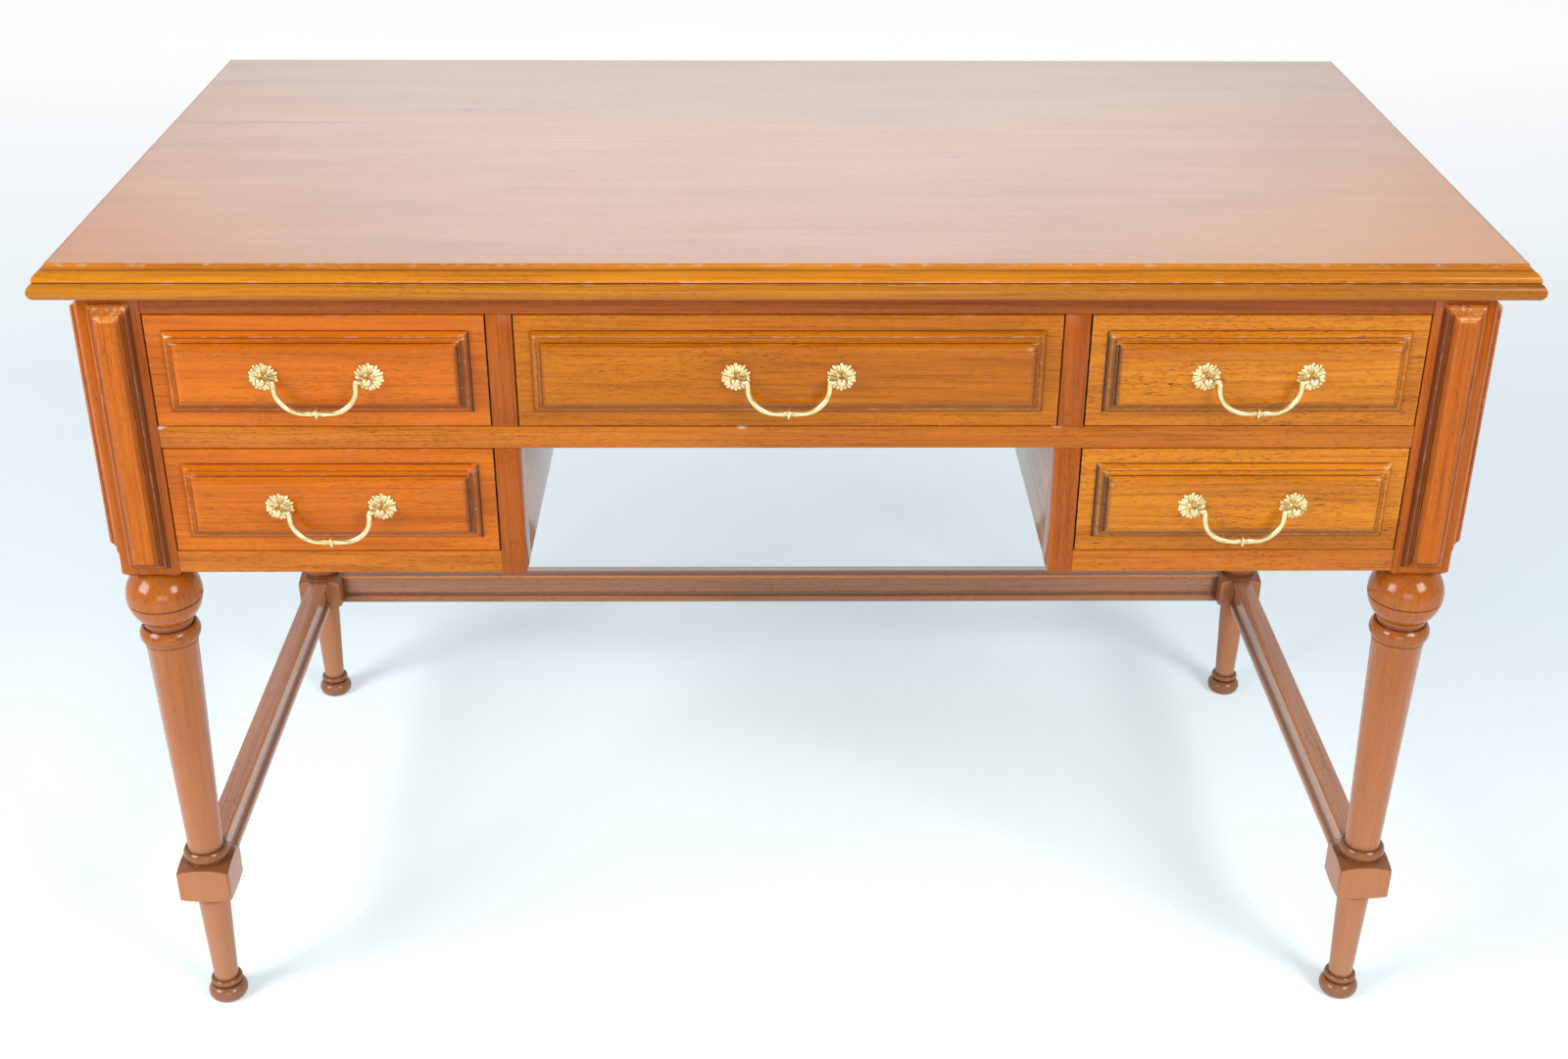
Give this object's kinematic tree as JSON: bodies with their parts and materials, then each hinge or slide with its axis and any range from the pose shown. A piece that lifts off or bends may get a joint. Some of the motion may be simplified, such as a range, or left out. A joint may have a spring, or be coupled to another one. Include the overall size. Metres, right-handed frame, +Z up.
{
  "type": "kneehole writing desk",
  "caption": "Wooden kneehole writing desk on turned legs with stretchers, a moulded top and frieze and pedestal drawers with swinging brass bail pulls.",
  "frame": {"origin": "on the floor, below the middle of the top", "axes": "+X to the right as one faces the drawers, +Y to the back, +Z up"},
  "size_m": [1.2, 0.65, 0.773],
  "materials": {
    "varnished_hardwood": "gloss varnish",
    "drawer_timber": "planed, unvarnished",
    "brass": "polished"
  },
  "bodies": {
    "carcase": {"desk_top": "varnished_hardwood", "corner_post_front_left": "varnished_hardwood", "corner_post_front_right": "varnished_hardwood", "corner_post_back_left": "varnished_hardwood", "corner_post_back_right": "varnished_hardwood", "leg_front_left": "varnished_hardwood", "leg_front_right": "varnished_hardwood", "leg_back_left": "varnished_hardwood", "leg_back_right": "varnished_hardwood", "stretcher_left": "varnished_hardwood", "stretcher_right": "varnished_hardwood", "stretcher_back": "varnished_hardwood", "post_panels": "varnished_hardwood", "top_rail": "varnished_hardwood", "mid_rail": "varnished_hardwood", "bottom_rails": "varnished_hardwood", "dividers": "varnished_hardwood", "inner_stiles": "varnished_hardwood", "knee_panels": "varnished_hardwood", "end_panels": "varnished_hardwood", "back_panel": "varnished_hardwood", "pedestal_backs": "varnished_hardwood", "drawer_runners": "drawer_timber", "drawer_stops": "drawer_timber", "top_cleats": "drawer_timber"},
    "drawer_upper_left": {"drawer_front_upper_left": "varnished_hardwood", "drawer_sides_upper_left": "drawer_timber", "drawer_back_upper_left": "drawer_timber", "drawer_bottom_upper_left": "drawer_timber", "pull_rosettes_upper_left": "brass", "pull_bolts_upper_left": "brass"},
    "pull_upper_left": {"bail_upper_left": "brass"},
    "drawer_centre": {"drawer_front_centre": "varnished_hardwood", "drawer_sides_centre": "drawer_timber", "drawer_back_centre": "drawer_timber", "drawer_bottom_centre": "drawer_timber", "pull_rosettes_centre": "brass", "pull_bolts_centre": "brass"},
    "pull_centre": {"bail_centre": "brass"},
    "drawer_upper_right": {"drawer_front_upper_right": "varnished_hardwood", "drawer_sides_upper_right": "drawer_timber", "drawer_back_upper_right": "drawer_timber", "drawer_bottom_upper_right": "drawer_timber", "pull_rosettes_upper_right": "brass", "pull_bolts_upper_right": "brass"},
    "pull_upper_right": {"bail_upper_right": "brass"},
    "drawer_lower_left": {"drawer_front_lower_left": "varnished_hardwood", "drawer_sides_lower_left": "drawer_timber", "drawer_back_lower_left": "drawer_timber", "drawer_bottom_lower_left": "drawer_timber", "pull_rosettes_lower_left": "brass", "pull_bolts_lower_left": "brass"},
    "pull_lower_left": {"bail_lower_left": "brass"},
    "drawer_lower_right": {"drawer_front_lower_right": "varnished_hardwood", "drawer_sides_lower_right": "drawer_timber", "drawer_back_lower_right": "drawer_timber", "drawer_bottom_lower_right": "drawer_timber", "pull_rosettes_lower_right": "brass", "pull_bolts_lower_right": "brass"},
    "pull_lower_right": {"bail_lower_right": "brass"}
  },
  "joints": [
    {"name": "slide_upper_left", "type": "slide", "parent": "carcase", "child": "drawer_upper_left", "axis": [0, -1, 0], "range_m": [0, 0.4]},
    {"name": "swing_upper_left", "type": "hinge", "parent": "drawer_upper_left", "child": "pull_upper_left", "pos_m": [-0.3835, -0.3188, 0.675], "axis": [-1, 0, 0], "range_deg": [-10, 165]},
    {"name": "slide_centre", "type": "slide", "parent": "carcase", "child": "drawer_centre", "axis": [0, -1, 0], "range_m": [0, 0.4]},
    {"name": "swing_centre", "type": "hinge", "parent": "drawer_centre", "child": "pull_centre", "pos_m": [0, -0.3188, 0.675], "axis": [-1, 0, 0], "range_deg": [-10, 165]},
    {"name": "slide_upper_right", "type": "slide", "parent": "carcase", "child": "drawer_upper_right", "axis": [0, -1, 0], "range_m": [0, 0.4]},
    {"name": "swing_upper_right", "type": "hinge", "parent": "drawer_upper_right", "child": "pull_upper_right", "pos_m": [0.3835, -0.3188, 0.675], "axis": [-1, 0, 0], "range_deg": [-10, 165]},
    {"name": "slide_lower_left", "type": "slide", "parent": "carcase", "child": "drawer_lower_left", "axis": [0, -1, 0], "range_m": [0, 0.4]},
    {"name": "swing_lower_left", "type": "hinge", "parent": "drawer_lower_left", "child": "pull_lower_left", "pos_m": [-0.3835, -0.3188, 0.55675], "axis": [-1, 0, 0], "range_deg": [-10, 165]},
    {"name": "slide_lower_right", "type": "slide", "parent": "carcase", "child": "drawer_lower_right", "axis": [0, -1, 0], "range_m": [0, 0.4]},
    {"name": "swing_lower_right", "type": "hinge", "parent": "drawer_lower_right", "child": "pull_lower_right", "pos_m": [0.3835, -0.3188, 0.55675], "axis": [-1, 0, 0], "range_deg": [-10, 165]}
  ]
}
